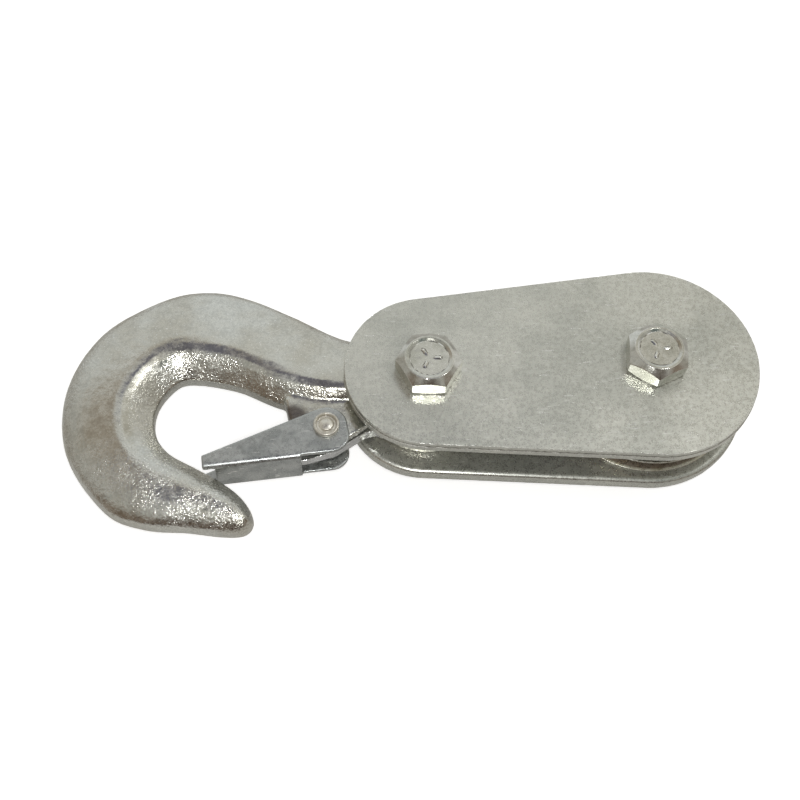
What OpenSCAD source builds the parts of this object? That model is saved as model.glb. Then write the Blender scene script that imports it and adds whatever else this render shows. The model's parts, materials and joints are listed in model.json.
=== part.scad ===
// Double sheave block with a swinging slip hook.
// Two sheaves run side by side on one bolt between flat cheek plates, and a forged hook
// with a sprung latch swings on the other bolt. The origin is the sheave axis, halfway
// between the plates. +Z points out of the front plate and +X away from the hook.

/* [Plates] */
// Distance between the two bolts
bolt_spacing = 75; // [72:0.5:90]
// Thickness of each cheek plate
plate_t = 5; // [4:0.5:6]
// Gap between the plates
gap = 16; // [16:0.5:18]
// Corner radius of the plates at the sheave end
sheave_end_r = 35; // [34:0.5:40]
// Corner radius of the plates at the hook end
hook_end_r = 27.5; // [25:0.5:28]

/* [Bolts] */
// Nominal bolt diameter
bolt_d = 12; // [12]
// Width of the hexagon across its flats
hex_af = 19; // [18:0.5:20]
// Height of the bolt head
head_h = 7.5; // [6:0.1:8]
// Height of the nut
nut_h = 10; // [8:0.5:11]
// Thickness of the split lock washer
lock_t = 2.5; // [2:0.1:3]
// How far a bolt stands out of its nut
bolt_stand = 1.5; // [1:0.5:4]
// Outer diameter of the spacer sleeves
sleeve_d = 16; // [15:0.5:17]

/* [Sheaves] */
// Outer diameter of a sheave
sheave_d = 62.5; // [58:0.5:64]
// Width of a sheave
sheave_w = 7; // [6:0.1:7.2]
// Diameter of the rope that the grooves are cut for
rope_d = 4; // [3:0.5:4.5]
// Depth of the rope groove
groove_depth = 5.5; // [4:0.5:6]
// Outer diameter of the bronze bushes
bush_d = 20; // [19:0.5:22]
// Thickness of the washer between the sheaves
centre_washer_t = 1; // [0.6:0.1:1]

/* [Hook] */
// Angle of the hook from the block's long axis
hook_swing = 7.25; // [-10:0.25:10]
// Outer radius of the hook's eye
eye_r = 20.5; // [18:0.5:21]
// Thickness of the hook's eye
eye_t = 15.4; // [14:0.1:15.6]
// Distance from the eye to the centre of the bowl
bowl_reach = 74.5; // [74:0.5:75]
// Radius of the bowl
bowl_r = 15.6; // [15:0.1:16]
// Greatest thickness of the hook
hook_t = 17; // [15:0.5:18]

/* [Latch] */
// Outside width of the latch channel
latch_w = 15; // [14.5:0.1:15.2]
// Thickness of the latch's sheet
latch_t = 1.5; // [1:0.1:1.5]
// Length from the rivet to the latch's tip
latch_len = 40.4; // [38:0.1:41]
// Depth of the channel below the rivet
latch_drop = 10.3; // [10:0.1:11]
// Outside radius of the channel's bends
latch_bend_r = 1.8; // [1.6:0.1:2]
// Distance from the rivet to the near end of the latch's web
web_end_x = 9.1; // [8.5:0.1:12]
// Radius of the cheeks round the rivet
latch_heel_r = 6.8; // [6:0.1:7]
// Diameter of the rivet's shank
rivet_d = 5; // [4:0.1:5]
// Width of the leaf spring
leaf_w = 4.6; // [3:0.1:6]
// Width of the leaf spring's free end
leaf_end_w = 2.4; // [2:0.1:4]
// Thickness of the leaf spring
leaf_t = 0.5; // [0.4:0.05:0.6]

/* [Hidden] */

$fn = 96;
eps = 0.01;
run_gap = 0.05;          // radial clearance of parts that turn or slide over each other
plate_hole_gap = 0.25;   // radial clearance of a bolt in a plate
bolt_r = bolt_d / 2;
hex_r = hex_af / 2 / cos(30);
head_chamfer_r = hex_af / 2 * 0.84;  // flat top of a bolt head
nut_chamfer_r = hex_af / 2 * 0.95;
plate_z = gap / 2;
bolt_tip_z = -plate_z - plate_t - lock_t - nut_h - bolt_stand;
sleeve_r = sleeve_d / 2;
sheave_r = sheave_d / 2;
sheave_z = centre_washer_t / 2 + 0.25 + sheave_w / 2;
bush_len = sheave_w + 0.2;
groove_r = rope_d / 2 + 0.15;
groove_flare = 12;       // angle of the groove's flanks

// Places on the hook, in the hook's own frame: its eye is at the origin and its load
// line runs along -X.
rivet_at = [-35.6, -11.9];
latch_tilt = -3;         // angle of the latch's web in the hook's frame
rivet_r = rivet_d / 2;
lug_t = 9.4;
lug_r = 6.4;             // metal round the rivet hole
leaf_side = 6.75;        // from the rivet's axis to the middle of the leaf
leaf_slope = 24;         // angle of the leaf's straight stretch
anchor_angle = 254;      // where the spring rivet sits round the eye
anchor_r = 1;            // shank of the spring rivet
anchor_deep = 4;
side_gap = 0.1;          // between the leaf and the eye, and the leaf and the web

// Unit vector in the direction of an angle
function dir(a) = [cos(a), sin(a)];

// Where the tangent from point p touches a circle of radius r round the origin
function touch(p, r, side) =
    let (a = atan2(p[1], p[0]) + side * acos(r / norm(p)))
    r * dir(a);

// ---- plates ----

// Egg-shaped outline: two round ends joined by straight sides
module plate_outline() {
    lean = asin((sheave_end_r - hook_end_r) / bolt_spacing);
    up = dir(90 + lean);
    down = dir(270 - lean);
    hook_c = [-bolt_spacing, 0];
    circle(r = sheave_end_r);
    translate(hook_c)
        circle(r = hook_end_r);
    polygon([
        sheave_end_r * up, hook_c + hook_end_r * up,
        hook_c + hook_end_r * down, sheave_end_r * down
    ]);
}

module plate(z) {
    translate([0, 0, z])
        difference() {
            linear_extrude(plate_t)
                plate_outline();
            for (x = [0, -bolt_spacing])
                translate([x, 0, -1])
                    cylinder(r = bolt_r + plate_hole_gap, h = plate_t + 2);
        }
}

module front_plate() {
    color("#c9c9c1")
        plate(plate_z);
}

module rear_plate() {
    color("#b9bcbb")
        plate(-plate_z - plate_t);
}

// ---- bolts, nuts and washers ----

// Hexagon prism with its corners taken off by a cone at both ends. Each cone leaves a
// round flat of the given radius.
module hex_block(h, top_r, bottom_r) {
    top_rise = (hex_r - top_r) * tan(30);
    bottom_rise = (hex_r - bottom_r) * tan(30);
    intersection() {
        cylinder(r = hex_r, h = h, $fn = 6);
        union() {
            translate([0, 0, bottom_rise])
                cylinder(r = hex_r + 1, h = h - top_rise - bottom_rise);
            translate([0, 0, h - top_rise])
                cylinder(r1 = hex_r, r2 = top_r, h = top_rise);
            cylinder(r1 = bottom_r, r2 = hex_r, h = bottom_rise);
        }
    }
}

// Bolt through both plates, head on the front plate
module bolt(turn) {
    head_z = plate_z + plate_t;
    dish_r = 7;
    dish_deep = 0.4;
    lead = 0.9;
    difference() {
        translate([0, 0, head_z])
            rotate([0, 0, turn])
                hex_block(head_h, head_chamfer_r, nut_chamfer_r);
        translate([0, 0, head_z + head_h - dish_deep])
            cylinder(r = dish_r, h = 1);
    }
    translate([0, 0, bolt_tip_z + lead])
        cylinder(r = bolt_r, h = head_z - bolt_tip_z - lead + eps);
    translate([0, 0, bolt_tip_z])
        cylinder(r1 = bolt_r - lead, r2 = bolt_r, h = lead);
}

module nut(turn) {
    z = -plate_z - plate_t - lock_t - nut_h;
    translate([0, 0, z])
        difference() {
            rotate([0, 0, turn])
                hex_block(nut_h, nut_chamfer_r, nut_chamfer_r);
            translate([0, 0, -1])
                cylinder(r = bolt_r + run_gap, h = nut_h + 2);
        }
}

// Split ring with a slanted cut
module lock_washer(turn) {
    ring_r = 10.5;
    slit = 1.2;
    translate([0, 0, -plate_z - plate_t - lock_t])
        difference() {
            cylinder(r = ring_r, h = lock_t);
            translate([0, 0, -1])
                cylinder(r = bolt_r + 2 * run_gap, h = lock_t + 2);
            rotate([0, 0, turn])
                translate([bolt_r - 1, 0, lock_t / 2])
                    rotate([20, 0, 0])
                        translate([0, -slit / 2, -lock_t])
                            cube([ring_r, slit, 2 * lock_t]);
        }
}

module sleeve() {
    difference() {
        cylinder(r = sleeve_r, h = gap, center = true);
        cylinder(r = bolt_r + run_gap, h = gap + 2, center = true);
    }
}

module at_hook_bolt() {
    translate([-bolt_spacing, 0, 0])
        children();
}

module sheave_bolt() {
    color("#d6d6d3")
        bolt(23);
}

module sheave_lock_washer() {
    color("#a9acae")
        lock_washer(200);
}

module sheave_nut() {
    color("#c4c7c7")
        nut(11);
}

module hook_bolt() {
    color("#d6d6d3")
        at_hook_bolt()
            bolt(-4);
}

module hook_lock_washer() {
    color("#a9acae")
        at_hook_bolt()
            lock_washer(75);
}

module hook_nut() {
    color("#c4c7c7")
        at_hook_bolt()
            nut(38);
}

module sheave_sleeve() {
    color("#9fa3a6")
        sleeve();
}

module hook_sleeve() {
    color("#9fa3a6")
        at_hook_bolt()
            sleeve();
}

// ---- sheaves ----

module centre_washer() {
    washer_r = 15;
    color("#b5b8ba")
        difference() {
            cylinder(r = washer_r, h = centre_washer_t, center = true);
            cylinder(r = sleeve_r + run_gap, h = centre_washer_t + 2, center = true);
        }
}

// Grooved wheel with a thinner web between hub and rim
module sheave(z) {
    groove_x = sheave_r - groove_depth + groove_r;
    rim_x = sheave_r + 1;
    mouth = groove_r / cos(groove_flare) + (rim_x - groove_x) * tan(groove_flare);
    flank_x = groove_x - groove_r * sin(groove_flare);
    flank_y = groove_r * cos(groove_flare);
    hub_r = 14;
    web_r = 23.5;
    web_cut = 0.9;
    translate([0, 0, z])
        difference() {
            cylinder(r = sheave_r, h = sheave_w, center = true);
            cylinder(r = bush_d / 2, h = sheave_w + 2, center = true);
            rotate_extrude() {
                translate([groove_x, 0])
                    circle(r = groove_r, $fn = 48);
                polygon([
                    [flank_x, -flank_y], [rim_x, -mouth],
                    [rim_x, mouth], [flank_x, flank_y]
                ]);
            }
            for (side = [-1, 1])
                translate([0, 0, side * sheave_w / 2])
                    difference() {
                        cylinder(r = web_r, h = 2 * web_cut, center = true);
                        cylinder(r = hub_r, h = 4, center = true);
                    }
        }
}

module bush(z) {
    translate([0, 0, z])
        difference() {
            cylinder(r = bush_d / 2, h = bush_len, center = true);
            cylinder(r = sleeve_r + run_gap, h = bush_len + 2, center = true);
        }
}

module front_sheave() {
    color("#b3aa92")
        sheave(sheave_z);
}

module front_bush() {
    color("#b08d57")
        bush(sheave_z);
}

module rear_sheave() {
    color("#b3aa92")
        sheave(-sheave_z);
}

module rear_bush() {
    color("#b08d57")
        bush(-sheave_z);
}

// ---- hook ----

// Stations along the hook from the eye to the point. Each one holds the inner edge's x
// and y, the outer edge's x and y, the thickness, how far across the crest lies, and the
// height of the outer edge as a share of the crest's.
neck_stations = [
    [-11.5, -8.5, -9.5, 16.0, 15.0, 0.24, 0.95],
    [-24.0, -5.0, -25.0, 22.4, 15.2, 0.22, 0.95],
    [-37.0, -3.5, -40.0, 34.3, 15.4, 0.26, 0.90],
    [-49.5, 1.5, -54.0, 44.2, 16.0, 0.31, 0.80],
    [-62.0, 10.0, -67.0, 49.1, 16.6, 0.35, 0.72]
];
back_c = [-74.3, 3.6];
back_r = 45.4;
bowl_stations = [
    for (a = [100:30:220])
        concat(
            [-bowl_reach, 0] + bowl_r * dir(a),
            back_c + back_r * dir(a),
            [hook_t, 0.40, 0.66]
        )
];
point_stations = [
    [-78.0, -17.2, -97.5, -33.6, 16.2, 0.40, 0.66],
    [-71.0, -23.2, -84.5, -37.1, 15.0, 0.42, 0.66],
    [-66.0, -29.0, -74.4, -40.3, 13.4, 0.46, 0.66],
    [-63.4, -34.6, -67.8, -41.5, 10.6, 0.50, 0.70],
    [-62.9, -38.4, -64.6, -40.7, 4.0, 0.50, 0.80]
];
stations = concat(neck_stations, bowl_stations, point_stations);
rings_per_span = 7;
side_points = 18;
land_share = 0.24;       // half height of the land along the inner edge, over the crest's
edge_land = 0.12;        // the same share at the outer edge
edge_power = 2.8;        // how square the outer edge is

// Smooth curve through four rows a, b, c, d between b (s = 0) and c (s = 1)
function blend(a, b, c, d, s) =
    0.5 * (2 * b + (c - a) * s + (2 * a - 5 * b + 4 * c - d) * s * s
        + (3 * b - a - 3 * c + d) * s * s * s);

// Row of values at place k along the hook
function station(k) =
    let (
        last = len(stations) - 1,
        i = min(floor(k), last - 1),
        a = stations[max(i - 1, 0)],
        d = stations[min(i + 2, last)]
    )
    blend(a, stations[i], stations[i + 1], d, k - i);

// Half thickness at share u of the width. From the trimmed land along the inner edge it
// climbs to the crest, then falls gently to the outer edge and rounds off there.
function half_t(row, u) =
    let (
        crest = row[5],
        v = (u - crest) / (1 - crest),
        rise = land_share + (1 - land_share) * sin(90 * u / crest),
        bow = pow(max(0, 1 - pow(v, edge_power)), 1 / edge_power),
        fall = (1 - v * (1 - row[6])) * (edge_land + (1 - edge_land) * bow)
    )
    row[4] / 2 * (u <= crest ? rise : fall);

// Closed ring of points: out over the front, back over the rear
function ring(row) = [
    for (i = [0:2 * side_points + 1])
        let (
            front = i <= side_points,
            j = front ? i : 2 * side_points + 1 - i,
            u = (1 - cos(180 * j / side_points)) / 2,
            h = half_t(row, u)
        )
        [
            row[0] + u * (row[2] - row[0]),
            row[1] + u * (row[3] - row[1]),
            front ? h : -h
        ]
];

module hook_body() {
    spans = len(stations) - 1;
    count = spans * rings_per_span + 1;
    n = 2 * side_points + 2;
    points = [
        for (k = [0:count - 1])
            each ring(station(k / rings_per_span))
    ];
    sides = [
        for (k = [0:count - 2], i = [0:n - 1])
            let (
                a = k * n + i,
                b = k * n + (i + 1) % n
            )
            each [[a, a + n, b], [b, a + n, b + n]]
    ];
    start_cap = [for (i = [0:n - 1]) i];
    end_cap = [for (i = [n - 1:-1:0]) (count - 1) * n + i];
    polyhedron(points, concat(sides, [start_cap, end_cap]));
}

// Thin lug under the neck that carries the latch. Its underside runs along the leaf
// spring, and its last points lie inside the neck and the eye.
module lug_outline() {
    end_top = [-47.3, 2.0];
    end_low = [-46.9, -7.5];
    underside = 17.4;
    flat_foot = rivet_at + lug_r * dir(leaf_slope - 90);
    translate(rivet_at)
        circle(r = lug_r);
    polygon([
        end_top,
        end_low,
        rivet_at + touch(end_low - rivet_at, lug_r, 1),
        flat_foot,
        flat_foot + underside * dir(leaf_slope),
        [-12, 0],
        [-30, 6]
    ]);
}

module at_hook() {
    translate([-bolt_spacing, 0, 0])
        rotate([0, 0, hook_swing])
            children();
}

module hook() {
    color("#b4b6b4")
        at_hook()
            difference() {
                union() {
                    hook_body();
                    cylinder(r = eye_r, h = eye_t, center = true);
                    linear_extrude(lug_t, center = true)
                        lug_outline();
                }
                cylinder(r = sleeve_r + run_gap, h = 2 * eye_t, center = true);
                translate(rivet_at)
                    cylinder(r = rivet_r + run_gap, h = 2 * lug_t, center = true, $fn = 48);
                rotate([0, 0, anchor_angle])
                    translate([eye_r - anchor_deep, 0, 0])
                        rotate([0, 90, 0])
                            cylinder(r = anchor_r, h = anchor_deep + 2, $fn = 32);
            }
}

// ---- latch ----

module at_latch() {
    at_hook()
        translate(rivet_at)
            rotate([0, 0, latch_tilt])
                children();
}

// Side view of a latch cheek, rivet at the origin and tip towards -X
module cheek_outline() {
    tip_top = [-latch_len, -5.6];
    tip_low = [-latch_len, -latch_drop];
    web_end = [-web_end_x, -latch_drop];
    corner = [1, -3.2];
    corner_r = 6;
    low = corner[1] - corner_r;
    circle(r = latch_heel_r);
    translate(corner)
        circle(r = corner_r);
    polygon([
        touch(tip_top, latch_heel_r, -1), tip_top, tip_low,
        web_end, [web_end[0], low], [corner[0], low], corner, [latch_heel_r, 0]
    ]);
}

// Slot shape with a round-cornered bottom at y = -depth, open towards +Y
module trough(width, depth, corner_r) {
    tall = depth + 20;
    translate([-width / 2, corner_r - depth])
        square([width, tall - corner_r]);
    translate([corner_r - width / 2, -depth])
        square([width - 2 * corner_r, tall]);
    for (side = [-1, 1])
        translate([side * (width / 2 - corner_r), corner_r - depth])
            circle(r = corner_r, $fn = 32);
}

// Channel bent from sheet, running along X, with its web on the -Y side
module channel(length) {
    rotate([0, 90, 0])
        linear_extrude(length)
            difference() {
                trough(latch_w, latch_drop, latch_bend_r);
                trough(latch_w - 2 * latch_t, latch_drop - latch_t, latch_bend_r - latch_t);
            }
}

module latch() {
    inside_w = latch_w - 2 * latch_t;
    tip_cut = 3.9;           // how much shorter the web is than the cheeks at the tip
    web_cuts = [[-latch_len - 1, tip_cut + 1], [-web_end_x, web_end_x + latch_heel_r + 1]];
    color("#a3abb0")
        at_latch()
            difference() {
                intersection() {
                    translate([-latch_len - 1, 0, 0])
                        channel(latch_len + latch_heel_r + 2);
                    linear_extrude(latch_w + 2, center = true)
                        cheek_outline();
                }
                for (cut = web_cuts)
                    translate([cut[0], -latch_drop - 1, -inside_w / 2])
                        cube([cut[1], latch_t + 2.5, inside_w]);
                cylinder(r = rivet_r, h = latch_w + 2, center = true, $fn = 48);
            }
}

// Rivet with a ringed, domed head at each end
module latch_rivet() {
    head_r = 4.25;
    head_t = 1.4;
    ring_in = 3.3;
    dome_r = 2.1;
    dish = 0.7;
    corner = 0.4;            // rounding of the head's outer edge
    color("#d2cdbf")
        at_latch() {
            cylinder(r = rivet_r, h = latch_w + 2 * head_t - 2 * dish, center = true, $fn = 48);
            for (side = [0, 180])
                rotate([side, 0, 0])
                    translate([0, 0, latch_w / 2])
                        rotate_extrude($fn = 48)
                            polygon([
                                [0, 0], [head_r, 0], [head_r, head_t - corner],
                                [head_r - corner, head_t],
                                [ring_in + 0.2, head_t], [ring_in, dish], [dome_r + 0.2, dish],
                                [dome_r - 0.2, dish + 0.6], [1, dish + 0.8], [0, dish + 0.85]
                            ]);
        }
}

// Outline of a strip of thickness t along a centre line
function strip(line, t) =
    let (
        last = len(line) - 1,
        side = [
            for (i = [0:last])
                let (
                    d = line[min(i + 1, last)] - line[max(i - 1, 0)],
                    u = d / norm(d)
                )
                t / 2 * [-u[1], u[0]]
        ]
    )
    concat(
        [for (i = [0:last]) line[i] + side[i]],
        [for (i = [last:-1:0]) line[i] - side[i]]
    );

// Leaf spring: its tail hugs the eye, a straight stretch passes under the lug and its
// free end, which is narrower, lies on the inside of the latch's web
module latch_spring() {
    tail_r = eye_r + side_gap + leaf_t / 2;
    tail_end = 268;          // angle round the eye at which the tail ends
    along = dir(180 + leaf_slope);
    foot = rivet_at + leaf_side * dir(leaf_slope - 90);
    web_dir = dir(180 + latch_tilt);
    web_in = rivet_at + (latch_drop - latch_t - side_gap - leaf_t / 2) * dir(270 + latch_tilt);
    knee = foot - 12.9 * along;
    lift_off = touch(knee, tail_r, 1);
    lift_angle = atan2(lift_off[1], lift_off[0]) + 360;
    web_places = [7.6, 9, 18];
    end_x = -60;             // past the free end, where the taper is drawn to
    line = concat(
        [for (a = [tail_end:-3:lift_angle]) tail_r * dir(a)],
        [knee + 0.1 * (lift_off - knee), knee - 0.2 * (knee - foot), foot + 1.5 * along],
        [for (x = web_places) web_in + x * web_dir]
    );
    color("#c8ccce")
        at_hook()
            difference() {
                intersection() {
                    linear_extrude(leaf_w, center = true)
                        polygon(strip(line, leaf_t));
                    rotate([90, 0, 0])
                        linear_extrude(100, center = true)
                            polygon([
                                [0, leaf_w], [knee[0], leaf_w / 2], [end_x, leaf_end_w / 2],
                                [end_x, -leaf_end_w / 2], [knee[0], -leaf_w / 2], [0, -leaf_w]
                            ]);
                }
                rotate([0, 0, anchor_angle])
                    translate([eye_r - 1, 0, 0])
                        rotate([0, 90, 0])
                            cylinder(r = anchor_r + run_gap, h = 3, $fn = 32);
            }
}

module spring_rivet() {
    head_z = side_gap + leaf_t + 0.05;
    color("#bcbcb6")
        at_hook()
            rotate([0, 0, anchor_angle])
                translate([eye_r, 0, 0])
                    rotate([0, 90, 0]) {
                        translate([0, 0, -anchor_deep])
                            cylinder(r = anchor_r, h = anchor_deep + head_z + eps, $fn = 32);
                        translate([0, 0, head_z])
                            cylinder(r1 = 1.8, r2 = 1.2, h = 0.8, $fn = 32);
                    }
}

front_plate();
rear_plate();
sheave_bolt();
sheave_lock_washer();
sheave_nut();
hook_bolt();
hook_lock_washer();
hook_nut();
sheave_sleeve();
hook_sleeve();
centre_washer();
front_sheave();
front_bush();
rear_sheave();
rear_bush();
hook();
latch();
latch_rivet();
latch_spring();
spring_rivet();
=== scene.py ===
import json
import math

import bmesh
import bpy
import numpy as np
from mathutils import Matrix, Vector, noise


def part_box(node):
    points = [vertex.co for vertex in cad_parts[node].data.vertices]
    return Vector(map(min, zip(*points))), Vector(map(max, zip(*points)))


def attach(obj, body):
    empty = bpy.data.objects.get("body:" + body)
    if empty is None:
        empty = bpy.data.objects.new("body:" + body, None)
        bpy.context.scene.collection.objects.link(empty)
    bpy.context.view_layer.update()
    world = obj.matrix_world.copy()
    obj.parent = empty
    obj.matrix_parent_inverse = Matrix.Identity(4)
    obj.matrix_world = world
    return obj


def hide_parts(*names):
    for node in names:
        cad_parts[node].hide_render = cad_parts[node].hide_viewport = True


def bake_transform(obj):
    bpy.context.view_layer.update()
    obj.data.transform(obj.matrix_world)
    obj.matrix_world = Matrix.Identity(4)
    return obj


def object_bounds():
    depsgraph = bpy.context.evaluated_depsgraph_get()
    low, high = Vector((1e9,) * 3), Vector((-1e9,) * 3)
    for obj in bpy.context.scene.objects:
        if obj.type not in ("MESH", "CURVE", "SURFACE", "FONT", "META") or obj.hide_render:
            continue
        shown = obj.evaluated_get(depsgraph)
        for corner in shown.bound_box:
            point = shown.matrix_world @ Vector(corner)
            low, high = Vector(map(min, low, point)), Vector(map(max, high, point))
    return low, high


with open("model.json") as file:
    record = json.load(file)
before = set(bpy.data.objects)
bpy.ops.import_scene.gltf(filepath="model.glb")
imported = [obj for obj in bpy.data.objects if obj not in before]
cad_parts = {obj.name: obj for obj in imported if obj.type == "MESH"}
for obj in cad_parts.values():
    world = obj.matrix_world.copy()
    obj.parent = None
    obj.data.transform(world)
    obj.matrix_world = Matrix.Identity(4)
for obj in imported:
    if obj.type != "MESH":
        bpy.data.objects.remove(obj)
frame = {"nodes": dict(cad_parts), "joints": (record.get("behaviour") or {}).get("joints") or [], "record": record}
cad_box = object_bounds()
MM = 0.001


# ---- places and sizes, read from the frame ----

def box_mm(node):
    """Lowest and highest corner of a CAD node, in millimetres."""
    lo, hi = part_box(node)
    return np.array(lo) / MM, np.array(hi) / MM


def joint_place(name):
    """Where a joint's axis stands, in millimetres."""
    joint = next(j for j in frame["joints"] if j["name"] == name)
    return np.array(joint["pos_m"]) / MM


BODY_OF = {
    node: body
    for body, nodes in frame["record"]["behaviour"]["bodies"].items()
    for node in nodes
}

HOOK_PIN = joint_place("hook_swing")
RIVET = joint_place("latch_open")
HOOK_SWING = 7.25            # angle of the hook from the block's long axis
LUG_HALF_T = 4.8             # half thickness of the hook's lug, with a little room

plate_lo, plate_hi = box_mm("front_plate")
SHEAVE_END_R = plate_hi[0]
HOOK_END_R = HOOK_PIN[0] - plate_lo[0]
PLATE_T = plate_hi[2] - plate_lo[2]
PLATE_FACE = PLATE_T - 0.02  # the outer face lies just below the burr's crest
SHEAVE_R = box_mm("front_sheave")[1][0]

bolt_lo, bolt_hi = box_mm("sheave_bolt")
HEAD_TOP = bolt_hi[2]
HEAD_BASE = plate_hi[2]
BOLT_TIP = bolt_lo[2]
BOLT_R = 6.0
BOLT_SLACK = 0.05            # room between a bolt and what it passes through
SHANK_R = BOLT_R - 0.04
THREAD_TOP = -9.0
THREAD_PITCH = 1.75
HEX_APOTHEM = 9.5
HEAD_FLAT_R = HEX_APOTHEM * 0.84
NUT_FLAT_R = HEX_APOTHEM * 0.95
DISH_R = 6.4
DISH_DEPTH = 0.42


# ---- outlines ----

def unit(v):
    return v / np.linalg.norm(v)


def unit_rows(v):
    return v / np.linalg.norm(v, axis=1)[:, None]


def corner_arc(p, back, on, r, steps):
    """Points of the arc that rounds a corner p, whose sides leave along back and on."""
    half = math.acos(np.clip(back @ on, -1, 1)) / 2
    centre = p + unit(back + on) * r / math.sin(half)
    start = p + back * r / math.tan(half) - centre
    end = p + on * r / math.tan(half) - centre
    a = math.atan2(start[1], start[0])
    turn = math.atan2(end[1], end[0]) - a
    turn = (turn + math.pi) % (2 * math.pi) - math.pi
    angles = [a + turn * k / steps for k in range(steps + 1)]
    return [centre + r * np.array([math.cos(t), math.sin(t)]) for t in angles]


def rounded(points, radii, steps=4, closed=False):
    """A polyline with each corner replaced by an arc of its radius."""
    points = [np.array(p, float) for p in points]
    count = len(points)
    out = []
    for i, p in enumerate(points):
        if radii[i] == 0 or (not closed and i in (0, count - 1)):
            out.append(p)
            continue
        back = unit(points[i - 1] - p)
        on = unit(points[(i + 1) % count] - p)
        out += corner_arc(p, back, on, radii[i], steps)
    return out


def dense(points, step, closed=False):
    """The polyline with its long spans split, so that nothing is longer than step."""
    points = [np.array(p, float) for p in points]
    ends = points[1:] + points[:1] if closed else points[1:]
    out = []
    for p, q in zip(points, ends):
        parts = max(1, math.ceil(np.linalg.norm(q - p) / step - 1e-6))
        out += [p + (q - p) * k / parts for k in range(parts)]
    if not closed:
        out.append(points[-1])
    return out


def hex_polar(turn, corner_r=0.55):
    """Angles and radii round a hexagon whose corners are slightly rounded."""
    centre = (HEX_APOTHEM - corner_r) / math.cos(math.radians(30))
    span = math.degrees(math.atan2(
        corner_r * math.sin(math.radians(30)),
        centre + corner_r * math.cos(math.radians(30)),
    ))
    corner = list(np.linspace(-span, span, 7))
    side = list(np.linspace(span, 60 - span, 11)[1:-1])
    angles, radii = [], []
    for k in range(6):
        for d in corner + side:
            off = math.radians(d)
            if d <= span:
                arc = math.sqrt(corner_r ** 2 - (centre * math.sin(off)) ** 2)
                r = centre * math.cos(off) + arc
            else:
                r = HEX_APOTHEM / math.cos(off - math.radians(30))
            angles.append(turn + 60 * k + d)
            radii.append(r)
    return angles, radii


# ---- meshes ----

def grid(rows, columns, wrap_rows=False):
    """Quads over closed rings of points, stored ring by ring."""
    faces = []
    for i in range(rows if wrap_rows else rows - 1):
        for j in range(columns):
            k, m = (i + 1) % rows, (j + 1) % columns
            faces.append((
                i * columns + j, i * columns + m, k * columns + m, k * columns + j,
            ))
    return faces


def face_outwards(bm):
    """Turns all faces the same way, and outwards where the mesh is closed."""
    bmesh.ops.recalc_face_normals(bm, faces=bm.faces)
    if bm.calc_volume(signed=True) < 0:
        bmesh.ops.reverse_faces(bm, faces=bm.faces)


def mesh_of(name, points, faces):
    """A clean mesh in metres, its faces turned outwards."""
    mesh = bpy.data.meshes.new(name)
    mesh.from_pydata([tuple(p) for p in np.asarray(points) * MM], [], faces)
    bm = bmesh.new()
    bm.from_mesh(mesh)
    bmesh.ops.remove_doubles(bm, verts=bm.verts, dist=1e-7)
    face_outwards(bm)
    bm.to_mesh(mesh)
    bm.free()
    return mesh


def turned(profile, segments, centre, closed=True):
    """A solid of revolution about Z from an (r, z) profile. An open one starts and ends
    on the axis."""
    angles = np.radians(np.arange(segments) * 360 / segments)
    ring = np.stack([np.cos(angles), np.sin(angles)], 1)
    points = [
        (centre[0] + r * c, centre[1] + r * s, centre[2] + z)
        for r, z in profile
        for c, s in ring
    ]
    return points, grid(len(profile), segments, wrap_rows=closed)


def around(rows, angles, x):
    """Points of rows that hold an (r, z) for each angle, round an upright axis at x."""
    return [
        (x + r * math.cos(math.radians(a)), r * math.sin(math.radians(a)), z)
        for row in rows
        for a, (r, z) in zip(angles, row)
    ]


def vertex_places(mesh):
    co = np.zeros(len(mesh.vertices) * 3)
    mesh.vertices.foreach_get("co", co)
    return co.reshape(-1, 3)


def edge_ends(mesh):
    """First and second vertex of every edge."""
    pairs = np.zeros(len(mesh.edges) * 2, int)
    mesh.edges.foreach_get("vertices", pairs)
    return pairs.reshape(-1, 2).T


def mark_convexity(mesh, gain):
    """Stores at each vertex how convex the surface is there, from -1 to 1."""
    co = vertex_places(mesh)
    count = len(co)
    normals = np.zeros(count * 3)
    mesh.vertex_normals.foreach_get("vector", normals)
    normals = normals.reshape(-1, 3)
    a, b = edge_ends(mesh)
    away = co[b] - co[a]
    length = np.maximum(np.linalg.norm(away, axis=1), 1e-9)
    bend_a = -np.einsum("ij,ij->i", normals[a], away) / length
    bend_b = np.einsum("ij,ij->i", normals[b], away) / length
    total = np.bincount(a, bend_a, count) + np.bincount(b, bend_b, count)
    ties = np.bincount(a, minlength=count) + np.bincount(b, minlength=count)
    convexity = np.clip(gain * total / np.maximum(ties, 1), -1, 1)
    attribute = mesh.attributes.new("convexity", "FLOAT", "POINT")
    attribute.data.foreach_set("value", convexity.astype(np.float32))


def voxel_skin(node, voxel):
    """A copy of a CAD node as one even closed skin."""
    mesh = frame["nodes"][node].data.copy()
    bm = bmesh.new()
    bm.from_mesh(mesh)
    bmesh.ops.remove_doubles(bm, verts=bm.verts, dist=1e-7)
    bm.to_mesh(mesh)
    bm.free()
    temp = bpy.data.objects.new("temp", mesh)
    bpy.context.scene.collection.objects.link(temp)
    remesh = temp.modifiers.new("remesh", "REMESH")
    remesh.mode = "VOXEL"
    remesh.voxel_size = voxel * MM
    graph = bpy.context.evaluated_depsgraph_get()
    skin = bpy.data.meshes.new_from_object(temp.evaluated_get(graph))
    bpy.data.objects.remove(temp)
    skin.name = node + "_skin"
    return skin


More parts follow.
